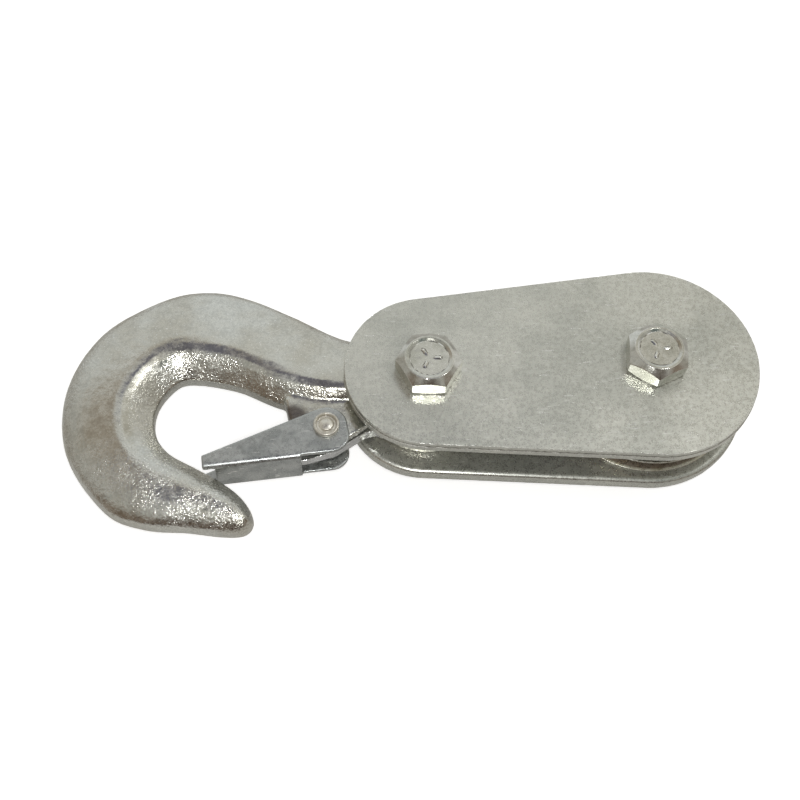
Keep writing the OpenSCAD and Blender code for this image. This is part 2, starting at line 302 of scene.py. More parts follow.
def soften(skin, rounds):
    """Smooths a skin without shrinking it: each round pulls it in and pushes it out."""
    pull, push = 0.6, -0.35
    co = vertex_places(skin)
    count = len(co)
    a, b = edge_ends(skin)
    ties = np.bincount(a, minlength=count) + np.bincount(b, minlength=count)
    for step in [pull, push] * rounds:
        mean = np.stack([
            np.bincount(a, co[b, i], count) + np.bincount(b, co[a, i], count)
            for i in range(3)
        ], 1) / ties[:, None]
        co = co + step * (mean - co)
    skin.vertices.foreach_set("co", co.ravel())
    skin.update()


def soft_copy(node, voxel, rounds):
    """A copy of a CAD node with soft edges."""
    skin = voxel_skin(node, voxel)
    soften(skin, rounds)
    return skin


def push_in(mesh, depth_at):
    """Moves each vertex inwards along its normal by depth_at(place, normal), in mm."""
    normals = [n.vector.copy() for n in mesh.vertex_normals]
    for v, n in zip(mesh.vertices, normals):
        v.co -= n * (depth_at(v.co / MM, n) * MM)
    mesh.update()


def piece(node, mesh, material, sharp=32, convexity_gain=3.0, ride=True):
    """The object that stands for a CAD node, riding on that node's body."""
    mesh.shade_smooth()
    if sharp:
        mesh.set_sharp_from_angle(angle=math.radians(sharp))
    mark_convexity(mesh, convexity_gain)
    mesh.materials.clear()
    mesh.materials.append(material)
    obj = bpy.data.objects.new(node + "_look", mesh)
    bpy.context.scene.collection.objects.link(obj)
    if ride:
        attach(obj, BODY_OF[node])
    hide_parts(node)
    return obj


def level_normals(obj):
    """Keeps large flat faces flat beside their roundings."""
    modifier = obj.modifiers.new("level", "WEIGHTED_NORMAL")
    modifier.mode = "FACE_AREA"
    modifier.weight = 60
    modifier.keep_sharp = True


# ---- shader nodes ----

def rgb(r, g, b):
    return (r, g, b, 1.0)


class Graph:
    """Adds nodes to a node tree and links them."""

    def __init__(self, tree):
        self.tree = tree

    def add(self, kind, props=None, **inputs):
        node = self.tree.nodes.new(kind)
        for key, value in (props or {}).items():
            setattr(node, key, value)
        for key, value in inputs.items():
            self.feed(node.inputs[key.replace("_", " ")], value)
        return node

    def feed(self, socket, value):
        if isinstance(value, bpy.types.NodeSocket):
            self.tree.links.new(value, socket)
        else:
            socket.default_value = value

    def pair(self, kind, operation, a, b):
        node = self.add(kind, {"operation": operation})
        self.feed(node.inputs[0], a)
        self.feed(node.inputs[1], b)
        return node

    def maths(self, operation, a, b=0.0):
        return self.pair("ShaderNodeMath", operation, a, b).outputs[0]

    def vectors(self, operation, a, b):
        return self.pair("ShaderNodeVectorMath", operation, a, b).outputs

    def times(self, a, b):
        return self.maths("MULTIPLY", a, b)

    def ramp(self, value, low, high, to_low=0.0, to_high=1.0):
        node = self.add(
            "ShaderNodeMapRange", {"interpolation_type": "SMOOTHSTEP"},
            Value=value, From_Min=low, From_Max=high, To_Min=to_low, To_Max=to_high,
        )
        return node.outputs[0]

    def mix(self, share, a, b, blend="MIX"):
        node = self.add("ShaderNodeMix", {"data_type": "RGBA", "blend_type": blend})
        self.feed(node.inputs[0], share)
        self.feed(node.inputs[6], a)
        self.feed(node.inputs[7], b)
        return node.outputs[2]

    def split(self, vector):
        return self.add("ShaderNodeSeparateXYZ", None, Vector=vector).outputs

    def noise(
        self, place, size, detail=2.0, roughness=0.5, offset=0.0, stretch=(1, 1, 1), turn=0,
    ):
        """Noise whose features are about size millimetres wide."""
        mapping = self.add(
            "ShaderNodeMapping", None,
            Vector=place, Scale=[s / (MM * size) for s in stretch],
            Rotation=(0, 0, math.radians(turn)), Location=(offset, offset * 0.7, -offset),
        )
        node = self.add(
            "ShaderNodeTexNoise", None,
            Vector=mapping.outputs[0], Scale=1.0, Detail=detail, Roughness=roughness,
        )
        return node.outputs[0]


# ---- materials ----

FIELD = 7.3                  # steps of this offset keep separate noise fields apart
# Tint of the painted shade in the hollows.
HOLLOW_SHADE_TINT = rgb(0.10, 0.085, 0.07)
# Tint of the painted brown shade over a sheave's groove.
GROOVE_SHADE_TINT = rgb(0.15, 0.095, 0.07)
# Tint of the painted shade at the hook's lug.
PATCH_SHADE_TINT = rgb(0.09, 0.07, 0.065)
SCRATCH = rgb(0.92, 0.92, 0.90)


class Coat:
    """Colour, roughness and height of a metal surface, laid on layer by layer. Sizes and
    depths are in millimetres."""

    def __init__(self, g, grain, bright_tint):
        self.g = g
        self.bright_tint = rgb(*bright_tint)
        self.place = g.add("ShaderNodeTexCoord").outputs["Object"]
        self.convexity = g.add("ShaderNodeAttribute", {"attribute_name": "convexity"}).outputs["Fac"]
        self.fine = g.noise(self.place, grain, 3.0, 0.65, FIELD)
        self.coarse = g.noise(self.place, grain * 3.1, 2.0, 0.6, 2 * FIELD)
        specks = g.noise(self.place, grain * 0.7, 1.0, 0.5, 3 * FIELD)
        self.specks = g.ramp(specks, 0.68, 0.74)

    def cover(self, share, tint):
        """Lays a tint over the colour."""
        self.colour = self.g.mix(share, self.colour, tint)

    def lay_colour(self, light, dark, blotch, grain_share):
        """Two tints in soft blotches, shaded by the grain, with bright specks."""
        g = self.g
        patches = g.ramp(g.noise(self.place, blotch, 3.0, 0.55), 0.36, 0.64)
        grains = g.maths("ADD", g.times(self.fine, 0.6), g.times(self.coarse, 0.4))
        shade = g.ramp(grains, 0.36, 0.62, 1.0 - grain_share, 1.0 + 0.35 * grain_share)
        tone = g.add("ShaderNodeCombineColor", None, Red=shade, Green=shade, Blue=shade)
        tints = g.mix(patches, rgb(*dark), rgb(*light))
        self.colour = g.mix(1.0, tints, tone.outputs[0], "MULTIPLY")
        self.cover(g.times(self.specks, 0.7), self.bright_tint)

    def lay_roughness(self, low, high):
        g = self.g
        roughness = g.ramp(self.coarse, 0.35, 0.65, low, high)
        roughness = g.maths("ADD", roughness, g.ramp(self.fine, 0.3, 0.7, -0.05, 0.05))
        self.roughness = g.maths("SUBTRACT", roughness, g.times(self.specks, 0.12))

    def lay_height(self, grain_depth, wave, wave_size):
        g = self.g
        waves = g.noise(self.place, wave_size, 2.0, 0.5, 4 * FIELD)
        self.height = g.maths("ADD", g.times(self.fine, grain_depth), g.times(waves, wave))

    def add_pits(self, depth, size, on_flats, below):
        """Pits in ragged zones: many on slopes and below a line in Y, few on flats."""
        g = self.g
        normal = g.add("ShaderNodeNewGeometry").outputs["True Normal"]
        level = g.maths("ABSOLUTE", g.split(normal)["Z"])
        share = g.ramp(level, 0.955, 0.87, on_flats, 1.0)
        lower = g.ramp(g.split(self.place)["Y"], below * MM, (below - 14) * MM)
        share = g.maths("MAXIMUM", share, lower)
        zones = g.ramp(g.noise(self.place, 9.0, 2.0, 0.5, 5 * FIELD), 0.38, 0.60, 0.35, 1.0)
        holes = g.ramp(g.noise(self.place, size, 2.0, 0.6, 6 * FIELD), 0.40, 0.62)
        holes = g.times(holes, g.times(share, zones))
        self.height = g.maths("ADD", self.height, g.times(holes, depth))
        self.cover(g.times(holes, 0.22), self.bright_tint)

    def add_scratches(self, strength):
        """Short thin scratches in three directions, each in patches of its own."""
        g = self.g
        for k, turn in ((1, 25), (2, -38), (3, 70)):
            line = g.noise(self.place, 1.0, 1.0, 0.4, k * 11.3, (0.16, 3.2, 1.0), turn)
            where = g.noise(self.place, 6.0, 1.0, 0.5, k * 5.1)
            mark = g.times(g.ramp(line, 0.70, 0.74), g.ramp(where, 0.50, 0.60))
            self.cover(g.times(mark, strength), SCRATCH)
            self.height = g.maths("SUBTRACT", self.height, g.times(mark, 0.01))

    def reach(self, middle):
        """Distance in XY from a point, and height above it, in metres."""
        away = self.g.vectors("SUBTRACT", self.place, [c * MM for c in middle])[0]
        at = self.g.split(away)
        squares = [self.g.maths("POWER", at[axis], 2.0) for axis in "XY"]
        return self.g.maths("SQRT", self.g.maths("ADD", *squares)), at["Z"]

    def add_groove_shade(self, radius):
        """Painted brown shade within a radius of the Z axis, laid over a sheave's groove, flanks and web as if
        they lay in shadow.
        """
        g = self.g
        out, _ = self.reach((0, 0, 0))
        shade_share = g.ramp(out, radius * MM, (radius + 0.5) * MM, 0.70, 0.0)
        self.cover(g.times(shade_share, g.ramp(self.coarse, 0.25, 0.55, 0.6, 1.0)), GROOVE_SHADE_TINT)

    def add_shade_patch(self, middle, radius, half_height):
        """Painted shade round a point, no farther from it in Z than half_height."""
        g = self.g
        out, up = self.reach(middle)
        shade_share = g.ramp(out, 0.5 * radius * MM, radius * MM, 0.85, 0.0)
        top = (half_height + 0.4) * MM
        low = g.ramp(g.maths("ABSOLUTE", up), half_height * MM, top, 1.0, 0.0)
        patchy = g.ramp(self.coarse, 0.25, 0.5, 0.7, 1.0)
        self.cover(g.times(g.times(shade_share, low), patchy), PATCH_SHADE_TINT)

    def add_hollow_shade(self):
        """Painted shade in the hollows: the colour darkens where the surface is concave."""
        self.cover(self.g.times(self.g.ramp(self.convexity, -0.08, -0.45), 0.75), HOLLOW_SHADE_TINT)

    def wear_and_sheen_edges(self):
        """Brighter and smoother metal on the edges: worn metal, which where the gain is high, as on the bolts'
        heads, is also a painted highlight.
        """
        g = self.g
        edge = g.ramp(self.convexity, 0.18, 0.62)
        edge = g.times(edge, g.ramp(self.coarse, 0.30, 0.55, 0.35, 1.0))
        self.cover(edge, self.bright_tint)
        roughness = g.maths("SUBTRACT", self.roughness, g.times(edge, 0.12))
        self.roughness = g.maths("MAXIMUM", roughness, 0.08)

    def dress(self, shader, metallic):
        g = self.g
        bump = g.add("ShaderNodeBump", None, Strength=1.0, Distance=MM, Height=self.height)
        g.feed(shader.inputs["Base Color"], self.colour)
        g.feed(shader.inputs["Roughness"], self.roughness)
        g.feed(shader.inputs["Normal"], bump.outputs[0])
        shader.inputs["Metallic"].default_value = metallic


def metal(
    name, light, dark, rough=(0.22, 0.46), blotch=5, grain=0.5, grain_share=0.25,
    grain_depth=0.010, wave=0.02, wave_size=5.0, bright_tint=(0.86, 0.86, 0.83), metallic=0.96,
    pits=None, scratch=0.0, groove_shade_in=None, shade_patch=None,
):
    """A plated or bare metal of two tints, with brighter worn edges, which on the bolts' heads also paint a
    highlight, and painted shade in the hollows.
    """
    material = bpy.data.materials.new(name)
    material.use_nodes = True
    coat = Coat(Graph(material.node_tree), grain, bright_tint)
    coat.lay_colour(light, dark, blotch, grain_share)
    coat.lay_roughness(*rough)
    coat.lay_height(grain_depth, wave, wave_size)
    if pits:
        coat.add_pits(**pits)
    if scratch:
        coat.add_scratches(scratch)
    if groove_shade_in:
        # painted brown shade over a sheave
        coat.add_groove_shade(groove_shade_in)
    if shade_patch:
        # painted shade round a point
        coat.add_shade_patch(**shade_patch)
    # painted shade in the hollows
    coat.add_hollow_shade()
    # worn edges, and a painted highlight where the gain is high
    coat.wear_and_sheen_edges()
    coat.dress(material.node_tree.nodes["Principled BSDF"], metallic)
    return material


plate_zinc = metal(
    "plate_zinc", (0.69, 0.695, 0.635), (0.57, 0.58, 0.53), rough=(0.27, 0.35), blotch=26,
    grain_share=0.16, grain_depth=0.005, wave=0.012, wave_size=7.0, scratch=0.6,
    metallic=0.78,
)
bolt_zinc = metal(
    "bolt_zinc", (0.66, 0.655, 0.60), (0.53, 0.53, 0.47), rough=(0.12, 0.20), blotch=6,
    grain_share=0.14, grain_depth=0.004, wave=0.014, wave_size=2.5,
)
washer_zinc = metal(
    "washer_zinc", (0.60, 0.61, 0.61), (0.46, 0.47, 0.47), rough=(0.22, 0.42),
)
sleeve_steel = metal(
    "sleeve_steel", (0.50, 0.50, 0.49), (0.36, 0.36, 0.35), rough=(0.24, 0.42),
)
sheave_zinc = metal(
    "sheave_zinc", (0.66, 0.65, 0.56), (0.50, 0.47, 0.37), rough=(0.22, 0.40), blotch=9,
    # painted brown shade over the sheave within its rim, for the groove in shadow
    grain=0.6, grain_share=0.16, metallic=0.85, groove_shade_in=SHEAVE_R - 1.1,
)
bush_bronze = metal(
    "bush_bronze", (0.62, 0.44, 0.23), (0.45, 0.29, 0.13), rough=(0.28, 0.45), grain=0.4,
    bright_tint=(0.85, 0.66, 0.40),
)
hook_zinc = metal(
    "hook_zinc", (0.68, 0.685, 0.64), (0.57, 0.555, 0.49), rough=(0.15, 0.28), blotch=20,
    grain=0.8, grain_share=0.17, grain_depth=0.008, wave=0.05, wave_size=4.5,
    pits={"depth": 0.075, "size": 0.9, "on_flats": 0.15, "below": -12.0},
    # painted shade round the left end of the hook's lug, where it lies in shadow under the neck and the latch's
    # cheek
    shade_patch={"middle": (-119.4, -11.4, 0), "radius": 6.2, "half_height": LUG_HALF_T},
)
latch_zinc = metal(
    "latch_zinc", (0.50, 0.52, 0.51), (0.37, 0.39, 0.385), rough=(0.26, 0.40), blotch=7,
    grain=0.45, grain_share=0.16, grain_depth=0.006, wave=0.05, wave_size=3.6, scratch=1.0,
    metallic=0.78,
)
rivet_zinc = metal(
    "rivet_zinc", (0.80, 0.78, 0.71), (0.62, 0.59, 0.51), rough=(0.30, 0.42), blotch=3,
    grain=0.4, grain_share=0.12, grain_depth=0.005, wave=0.01, metallic=0.80,
)
spring_steel = metal(
    "spring_steel", (0.72, 0.73, 0.73), (0.60, 0.61, 0.61), rough=(0.16, 0.30), blotch=7,
    grain=0.4, grain_share=0.10, grain_depth=0.004,
)


# ---- cheek plates ----

def egg(inset, arc_steps=110, side_steps=80):
    """A plate's outline drawn in by inset: two round ends and the straight sides between."""
    lean = math.asin((SHEAVE_END_R - HOOK_END_R) / -HOOK_PIN[0])
    meet = math.pi / 2 + lean
    big = np.linspace(-meet, meet, arc_steps)
    small = np.linspace(meet, 2 * math.pi - meet, arc_steps)
    big = (SHEAVE_END_R - inset) * np.stack([np.cos(big), np.sin(big)], 1)
    small = (HOOK_END_R - inset) * np.stack([np.cos(small), np.sin(small)], 1)
    small = small + [HOOK_PIN[0], 0]
    share = (np.arange(1, side_steps) / side_steps)[:, None]
    top = big[-1] + (small[0] - big[-1]) * share
    low = small[-1] + (big[0] - small[-1]) * share
    return np.concatenate([big, top, small, low])


def plate_profile():
    """(inset, rise) rows from a plate's inner face to its outer one: the rolled edge and
    its smooth band, the torn band up to the burr's crest, and the outer face."""
    roll_in, roll_up = 1.9, 1.05
    band = 0.62 * PLATE_T
    rolled = [(3.4, 0), (2.6, 0)]
    for t in np.radians(np.linspace(0, 90, 8)):
        rolled.append((roll_in * (1 - math.sin(t)), roll_up * (1 - math.cos(t))))
    rolled += [(0, 0.35 * PLATE_T), (0, 0.5 * PLATE_T), (0, band)]
    torn = [(0.10, band + 0.12), (0.14, 0.8 * PLATE_T), (0.16, PLATE_T - 0.30)]
    torn += [(0.17, PLATE_T - 0.12), (0.24, PLATE_T)]
    face = [(0.42, PLATE_T), (0.62, PLATE_FACE), (1.2, PLATE_FACE), (2.6, PLATE_FACE)]
    return rolled, torn, face


def noise_along(outline, frequency, seed):
    return np.array([
        noise.noise(Vector((x * frequency, y * frequency, seed))) for x, y in outline
    ])


def plate_rings(inner_z, out):
    """Rings of points over a plate's edge, with a ragged torn band and a broken burr."""
    tear, chip = 0.07, 0.05
    outline = egg(0)
    inward = unit_rows(egg(1) - outline)
    ragged = noise_along(outline, 0.9, inner_z)
    chips = np.clip(2.5 * noise_along(outline, 0.45, out * 9) + ragged, -1, 1)
    flat = np.zeros(len(outline))
    rolled, torn, face = plate_profile()
    rings = [(egg(inset), flat + rise) for inset, rise in rolled]
    torn_in = inward * (tear * (ragged + 1))[:, None]
    rings += [(egg(inset) + torn_in, flat + rise) for inset, rise in torn]
    crest, rise = rings[-1]
    rings[-1] = (crest, rise + chip * chips)
    rings += [(egg(inset), flat + rise) for inset, rise in face]
    return [np.column_stack([ring, inner_z + out * rise]) for ring, rise in rings]


def bolt_hole(x, inner_z, out):
    """The wall of a plate's bolt hole, with its edges broken."""
    r = BOLT_R + 0.25
    rows = [
        (r + 0.35, 0), (r + 0.1, 0.08), (r, 0.35), (r, PLATE_T - 0.35),
        (r + 0.1, PLATE_T - 0.08), (r + 0.35, PLATE_FACE),
    ]
    return turned([(r, out * z) for r, z in rows], 72, (x, 0, inner_z), closed=False)


def fill_flat(bm, z):
    """Fills between the open rims that lie at a height."""
    rim = [
        e for e in bm.edges
        if e.is_boundary and all(abs(v.co.z / MM - z) < 0.01 for v in e.verts)
    ]
    bmesh.ops.triangle_fill(bm, use_beauty=True, use_dissolve=False, edges=rim)


def plate_mesh(name, inner_z, out):
    """A punched plate, from its inner face outwards along Z by the sign of out."""
    rings = plate_rings(inner_z, out)
    points = list(np.concatenate(rings))
    faces = grid(len(rings), len(rings[0]))
    for x in (0, HOOK_PIN[0]):
        wall, quads = bolt_hole(x, inner_z, out)
        faces += [tuple(i + len(points) for i in q) for q in quads]
        points += wall
    mesh = mesh_of(name, points, faces)
    bm = bmesh.new()
    bm.from_mesh(mesh)
    fill_flat(bm, inner_z)
    fill_flat(bm, inner_z + out * PLATE_FACE)
    face_outwards(bm)
    bm.to_mesh(mesh)
    bm.free()
    return mesh


def make_plates():
    for node, out in (("front_plate", 1), ("rear_plate", -1)):
        lo, hi = box_mm(node)
        mesh = plate_mesh(node, lo[2] if out > 0 else hi[2], out)
        level_normals(piece(node, mesh, plate_zinc, sharp=50, convexity_gain=2.2))


# ---- bolts, nuts and lock washers ----

def thread_radius(angle, z):
    """Radius of an M12 thread, cut away by the lead at the bolt's tip."""
    phase = (z / THREAD_PITCH - angle / 360) % 1
    depth = 0.95 * min(1, max(0, 1.25 * abs(2 * phase - 1) - 0.12))
    return min(SHANK_R - depth, 5.0 + 1.1 * (z - BOLT_TIP))


def dash_height(x, y):
    """Height of the three raised dashes that point outwards in a head's dish."""
    middle, half_length, half_width, flank, height = 2.7, 0.9, 0.22, 0.3, 0.11
    total = 0
    for turn in np.radians([0, 120, 240]):
        along = x * math.cos(turn) + y * math.sin(turn)
        aside = -x * math.sin(turn) + y * math.cos(turn)
        outside = max(abs(along - middle) - half_length, abs(aside) - half_width)
        total += height * min(1, max(0, 1 - outside / flank))
    return total


def dish_rows(angles, seed):
    """(r, z) rows over the floor of a head's dish, slightly uneven."""
    rows = []
    for r in np.linspace(0, DISH_R, 17):
        row = []
        for a in angles:
            x, y = r * math.cos(math.radians(a)), r * math.sin(math.radians(a))
            dent = 0.03 * noise.noise(Vector((x * 0.6, y * 0.6, seed)))
            row.append((r, HEAD_TOP - DISH_DEPTH + dent + dash_height(x, y)))
        rows.append(row)
    return rows


def head_profile(r):
    """(r, z) from a head's dish to the shank, where the hexagon's radius is r."""
    top_slope, low_slope = math.tan(math.radians(37)), math.tan(math.radians(30))
    floor = HEAD_TOP - DISH_DEPTH
    points = [
        (DISH_R + 0.02, floor), (DISH_R + 0.05, floor), (DISH_R + 0.9, HEAD_TOP),
        (HEAD_FLAT_R, HEAD_TOP), (r, HEAD_TOP - (r - HEAD_FLAT_R) * top_slope),
        (r, HEAD_BASE + (r - NUT_FLAT_R) * low_slope), (NUT_FLAT_R, HEAD_BASE),
        (BOLT_R, HEAD_BASE),
    ]
    return rounded(points, [0, 0.05, 0.3, 0.3, 0.42, 0.42, 0.1, 0])


def shank_rows(angles):
    """(r, z) rows down the shank and the thread, and over the tip to the axis."""
    count = len(angles)
    rows = [[(SHANK_R, z)] * count for z in np.linspace(HEAD_BASE - 0.5, THREAD_TOP, 6)]
    steps = math.ceil((THREAD_TOP - BOLT_TIP) / (THREAD_PITCH / 9))
    for z in np.linspace(THREAD_TOP, BOLT_TIP, steps)[1:]:
        rows.append([(thread_radius(a, z), z) for a in angles])
    rows += [[(r, BOLT_TIP)] * count for r in (3.0, 0.0)]
    return rows


def bolt_mesh(node, x, turn):
    angles, radii = hex_polar(turn)
    head = zip(*[dense(head_profile(r), 5.0) for r in radii])
    rows = dish_rows(angles, x) + list(head) + shank_rows(angles)
    return mesh_of(node, around(rows, angles, x), grid(len(rows), len(angles)))


def nut_mesh(node, x, turn):
    lo, hi = box_mm(node)
    slope = math.tan(math.radians(30))
    bore, lead = BOLT_R + BOLT_SLACK, 0.8
    angles, radii = hex_polar(turn)
    rings = []
    for r in radii:
        rise = (r - NUT_FLAT_R) * slope
        points = [
            (bore + lead, hi[2]), (NUT_FLAT_R, hi[2]), (r, hi[2] - rise),
            (r, lo[2] + rise), (NUT_FLAT_R, lo[2]), (bore + lead, lo[2]),
            (bore, lo[2] + lead), (bore, hi[2] - lead),
        ]
        rings.append(rounded(points, [0.1, 0.35, 0.42, 0.42, 0.35, 0.1, 0, 0], closed=True))
    rows = list(zip(*rings))
    faces = grid(len(rows), len(angles), wrap_rows=True)
    return mesh_of(node, around(rows, angles, x), faces)


def lock_washer_mesh(node, x, turn):
    """A split ring whose ends are cut on a slant."""
    lo, hi = box_mm(node)
    outer, inner, slit, steps = 10.5, BOLT_R + 0.1, 1.2, 110
    slant = math.radians(20)
    mid = (lo[2] + hi[2]) / 2
    corners = [(inner, lo[2]), (outer, lo[2]), (outer, hi[2]), (inner, hi[2])]
    section = rounded(corners, [0.25] * 4, 4, closed=True)
    half_slit = slit / 2 / math.cos(slant)
    points = []
    for k in range(steps + 1):
        for r, z in section:
            shift = -(z - mid) * math.tan(slant)
            start = math.asin((shift + half_slit) / r)
            end = 2 * math.pi + math.asin((shift - half_slit) / r)
            a = math.radians(turn) + start + (end - start) * k / steps
            points.append((x + r * math.cos(a), r * math.sin(a), z))
    count = len(section)
    faces = grid(steps + 1, count)
    faces += [tuple(range(count)), tuple(steps * count + i for i in range(count))]
    return mesh_of(node, points, faces)


def make_fasteners():
    for name, x, head_turn, nut_turn, split in (
        ("sheave", 0, 23, 11, 200), ("hook", HOOK_PIN[0], -4, 38, 75),
    ):
        node = name + "_bolt"
        # the high gain makes the edge colour also paint the bright highlight ring round each head's dish
        level_normals(piece(node, bolt_mesh(node, x, head_turn), bolt_zinc, convexity_gain=9.0))
        node = name + "_nut"
        level_normals(piece(node, nut_mesh(node, x, nut_turn), bolt_zinc))
        node = name + "_lock_washer"
        level_normals(piece(node, lock_washer_mesh(node, x, split), washer_zinc))


# ---- turned parts ----

def make_ring(node, inner, outer, x, material, edge=0.3):
    """A plain turned ring with rounded edges, as long as its CAD node."""
    lo, hi = box_mm(node)
    corners = [(inner, lo[2]), (outer, lo[2]), (outer, hi[2]), (inner, hi[2])]
    profile = dense(rounded(corners, [edge] * 4, 3, closed=True), 1.2, closed=True)
    points, faces = turned(profile, 120, (x, 0, 0))
    level_normals(piece(node, mesh_of(node, points, faces), material))


def make_sheave(node):
    """A wheel with a round rope groove, flared flanks and a thinner web."""
    lo, hi = box_mm(node)
    rim = hi[0]
    mid, half = (lo[2] + hi[2]) / 2, (hi[2] - lo[2]) / 2
    groove_r, depth, flare = 2.15, 5.5, 12
    hub, web, cut, bore = 14.0, 23.5, 0.9, 10.0
    groove_x = rim - depth + groove_r
    flank = math.radians(flare)
    mouth = groove_r / math.cos(flank) + (rim - groove_x) * math.tan(flank)
    bottom = [
        (groove_x - groove_r * math.cos(t), groove_r * math.sin(t))
        for t in np.radians(np.linspace(90 - flare, flare - 90, 17))
    ]
    side = [
        (bore, half), (hub, half), (hub + 0.4, half - cut), (web - 0.4, half - cut),
        (web, half), (rim, half), (rim, mouth),
    ]
    edges = [0.3, 0.3, 0.3, 0.3, 0.3, 0.35, 0.3]
    profile = side + bottom + [(r, -z) for r, z in reversed(side)]
    radii = edges + [0] * len(bottom) + edges[::-1]
    profile = dense(rounded(profile, radii, 3, closed=True), 1.5, closed=True)
    points, faces = turned(profile, 160, (0, 0, mid))
    level_normals(piece(node, mesh_of(node, points, faces), sheave_zinc))


def make_turned_parts():
    bore, sleeve_r, bush_r, washer_r = BOLT_R + BOLT_SLACK, 8.0, 10.0, 15.0
    for node, x in (("sheave_sleeve", 0), ("hook_sleeve", HOOK_PIN[0])):
        make_ring(node, bore, sleeve_r, x, sleeve_steel)
    make_ring("centre_washer", sleeve_r + BOLT_SLACK, washer_r, 0, washer_zinc, 0.15)
    for wheel in ("front", "rear"):
        make_sheave(wheel + "_sheave")
        make_ring(wheel + "_bush", sleeve_r + BOLT_SLACK, bush_r, 0, bush_bronze, 0.2)


# ---- hook ----

def forging_dents(place, normal):
    """Depth of the forging's unevenness: broad waves, small dents and a pitted skin."""
    broad = noise.noise(place * 0.11)
    small = noise.noise(place * 0.45 + Vector((9, 4, 1)))
    pits = noise.noise(place * 1.15 + Vector((3, 8, 5)))
    slope = min(1, max(0, (0.96 - abs(normal.z)) / 0.1))
    return 0.05 * (broad + 1) + 0.035 * (small + 1) + 0.045 * slope * max(0, pits)


def make_hook():
    skin = soft_copy("hook", 0.45, 9)
    push_in(skin, forging_dents)
    piece("hook", skin, hook_zinc, sharp=0, convexity_gain=1.8)


# ---- latch and its spring ----

def make_latch():
    piece("latch", soft_copy("latch", 0.2, 20), latch_zinc, sharp=0, convexity_gain=1.5)


def make_latch_rivet():
    """A pin with a head at both ends. Each has a ring, a dish and a dome in the dish."""
    half = box_mm("latch_rivet")[1][2]
    head_r, ring_in, dome_r, pin_r = 4.25, 3.15, 2.25, 2.5
    head_t, dish, dome_t = 1.4, 0.55, 0.85
    base = half - dish - dome_t
    head = [
        (0, half), (1.1, half - 0.07), (dome_r - 0.15, base + dish + 0.5),
        (dome_r + 0.25, base + dish), (ring_in, base + dish + 0.02),
        (ring_in + 0.35, base + head_t), (head_r, base + head_t), (head_r, base),
        (pin_r, base),
    ]
    top = dense(rounded(head, [0, 0.9, 0.25, 0.2, 0.25, 0.2, 0.45, 0.05, 0], 4), 0.5)
    profile = top + [np.array([r, -z]) for r, z in reversed(top)]
    points, faces = turned(profile, 72, (RIVET[0], RIVET[1], 0), closed=False)
    piece("latch_rivet", mesh_of("latch_rivet", points, faces), rivet_zinc, sharp=40)


def make_spring_rivet():
    """The rivet that holds the leaf's tail to the underside of the hook's eye."""
    side, seat_r = 254, 20.5
    profile = rounded(
        [(0, 1.5), (1.3, 1.42), (1.8, 0.66), (1.0, 0.64), (1.0, -4), (0, -4)],
        [0, 0.4, 0.15, 0.05, 0.1, 0],
    )
    points, faces = turned(dense(profile, 0.4), 40, (0, 0, 0), closed=False)
    out = math.radians(HOOK_SWING + side)
    turn = Matrix.Rotation(out, 3, "Z") @ Matrix.Rotation(math.radians(90), 3, "Y")
    seat = HOOK_PIN[:2] + seat_r * np.array([math.cos(out), math.sin(out)])
    points = [tuple(turn @ Vector(p) + Vector((seat[0], seat[1], 0))) for p in points]
    piece("spring_rivet", mesh_of("spring_rivet", points, faces), rivet_zinc, sharp=40)


def make_leaf():
    """The leaf, softened and left where its CAD node stands, on no body. Its tail lies at the hook and its end at
    the latch's web.
    """
    leaf = piece("latch_spring", soft_copy("latch_spring", 0.12, 2), spring_steel, sharp=0,
                 ride=False)
    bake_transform(leaf)


# ---- room, lights, floor and camera ----

# Direction, angle within which the tint is full, angle where it ends, and tint. Later
# zones lie over earlier ones.
ROOM_ZONES = [
    ((0.08, 0.58, 0.81), 24, 50, (0.78, 0.78, 0.74)),     # pale, high on the +Y side
    ((0.0, 1.0, 0.15), 20, 60, (0.74, 0.76, 0.76)),       # pale, low on the +Y side
    ((0.82, 0.48, 0.32), 10, 28, (0.72, 0.72, 0.70)),     # pale, low beyond the sheaves
    ((-0.42, 0.32, 0.85), 6, 27, (0.37, 0.32, 0.26)),     # warm, over the hook's bowl
    ((0.06, 0.27, 0.96), 5, 14, (0.18, 0.18, 0.24)),      # blue-black, over the block
    ((-0.10, 0.03, 0.99), 11, 21, (0.17, 0.165, 0.20)),   # blue-black, overhead
    ((0.50, 0.46, 0.73), 8, 22, (0.54, 0.52, 0.46)),      # grey, beyond the sheaves
    ((0.0, -1.0, 0.30), 22, 44, (0.075, 0.048, 0.035)),   # dark brown, on the -Y side
    ((-0.8, -0.6, 0.35), 14, 34, (0.20, 0.15, 0.11)),     # brown, beyond the hook
    ((0.8, -0.55, 0.25), 12, 30, (0.22, 0.17, 0.13)),     # brown, low beyond the sheaves
    ((0.34, -0.33, 0.88), 5, 12, (0.16, 0.20, 0.20)),     # dark, high towards the camera
]


def towards(g, direction, inner, outer):
    """1 within inner degrees of a direction, fading to 0 at outer degrees."""
    place = g.add("ShaderNodeTexCoord").outputs["Generated"]
    along = g.vectors("DOT_PRODUCT", place, Vector(direction).normalized())["Value"]
    return g.ramp(along, math.cos(math.radians(outer)), math.cos(math.radians(inner)))


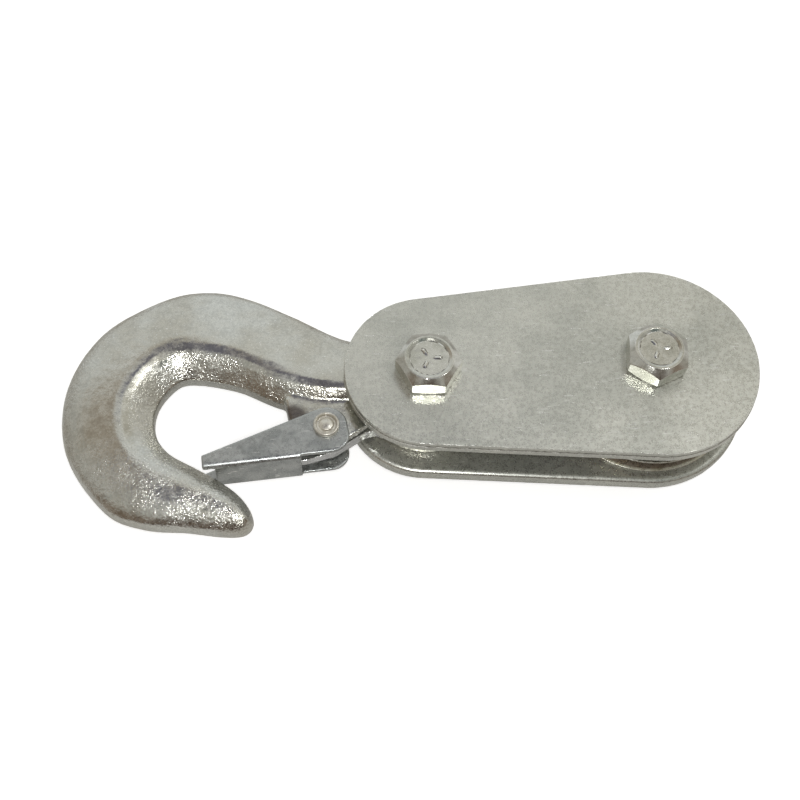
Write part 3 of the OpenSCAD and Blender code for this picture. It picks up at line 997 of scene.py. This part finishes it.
def make_room():
    """A studio seen only as reflections: pale behind the object, dark right above it and
    brown in front. The camera sees plain white instead."""
    world = bpy.data.worlds.new("room")
    bpy.context.scene.world = world
    world.use_nodes = True
    g = Graph(world.node_tree)
    overhead = towards(g, (0, 0, 1), 30, 95)
    colour = g.mix(overhead, rgb(0.34, 0.31, 0.27), rgb(0.50, 0.50, 0.47))
    for direction, inner, outer, tint in ROOM_ZONES:
        colour = g.mix(towards(g, direction, inner, outer), colour, rgb(*tint))
    seen = g.add("ShaderNodeLightPath").outputs["Is Camera Ray"]
    background = world.node_tree.nodes["Background"]
    g.feed(background.inputs["Color"], g.mix(seen, colour, rgb(1, 1, 1)))
    background.inputs["Strength"].default_value = 1.0


def soft_lamp(name, direction, distance, size, radiance):
    """A round lamp that faces the hook's pin. Distance and size are in metres."""
    data = bpy.data.lights.new(name, "AREA")
    data.shape = "DISK"
    data.size = size
    area = math.pi * (size / 2) ** 2
    data.energy = radiance * area * math.pi
    lamp = bpy.data.objects.new(name, data)
    bpy.context.scene.collection.objects.link(lamp)
    away = Vector(direction).normalized()
    lamp.location = Vector((HOOK_PIN[0] * MM, 0, 0)) + away * distance
    lamp.rotation_euler = away.to_track_quat("Z", "Y").to_euler()


def make_lights():
    soft_lamp("key_lamp", (-0.07, -0.475, 0.875), 0.40, 0.05, 75.0)
    soft_lamp("crest_lamp", (0.36, 0.09, 0.93), 1.0, 0.14, 15.0)


def floor_material():
    """Matt and near white to the camera, greyer in reflections, and clear from below."""
    material = bpy.data.materials.new("floor_white")
    material.use_nodes = True
    g = Graph(material.node_tree)
    shader = material.node_tree.nodes["Principled BSDF"]
    seen = g.add("ShaderNodeLightPath").outputs["Is Camera Ray"]
    tone = g.mix(seen, rgb(0.58, 0.57, 0.55), rgb(0.88, 0.88, 0.88))
    g.feed(shader.inputs["Base Color"], tone)
    shader.inputs["Roughness"].default_value = 0.9
    shader.inputs["Emission Color"].default_value = rgb(1, 1, 1)
    g.feed(shader.inputs["Emission Strength"], g.ramp(seen, 0, 1, 0.12, 0.62))
    either = g.add("ShaderNodeMixShader")
    g.feed(either.inputs[0], g.add("ShaderNodeNewGeometry").outputs["Backfacing"])
    g.feed(either.inputs[1], shader.outputs[0])
    g.feed(either.inputs[2], g.add("ShaderNodeBsdfTransparent").outputs[0])
    output = material.node_tree.nodes["Material Output"]
    g.feed(output.inputs["Surface"], either.outputs[0])
    return material


def make_floor():
    """A plain pale floor, a hair below the bolts' ends. It is in metres."""
    half = 4.0
    z = cad_box[0].z - 0.0001
    corners = [(-half, -half, z), (half, -half, z), (half, half, z), (-half, half, z)]
    mesh = bpy.data.meshes.new("floor")
    mesh.from_pydata(corners, [], [(0, 1, 2, 3)])
    mesh.materials.append(floor_material())
    floor = bpy.data.objects.new("floor", mesh)
    bpy.context.scene.collection.objects.link(floor)


def make_camera():
    data = bpy.data.cameras.new("camera")
    data.lens = 52.548
    data.sensor_width = 36
    data.clip_start = 0.01
    camera = bpy.data.objects.new("camera", data)
    camera.location = (-0.10945, -0.18723, 0.34210)
    camera.rotation_euler = [math.radians(a) for a in (28.3118, -2.1426, -3.9450)]
    bpy.context.scene.collection.objects.link(camera)
    bpy.context.scene.camera = camera
    bpy.context.scene.view_settings.view_transform = "Standard"


make_plates()
make_fasteners()
make_turned_parts()
make_hook()
make_latch()
make_latch_rivet()
make_spring_rivet()
make_leaf()
make_room()
make_lights()
make_floor()
make_camera()
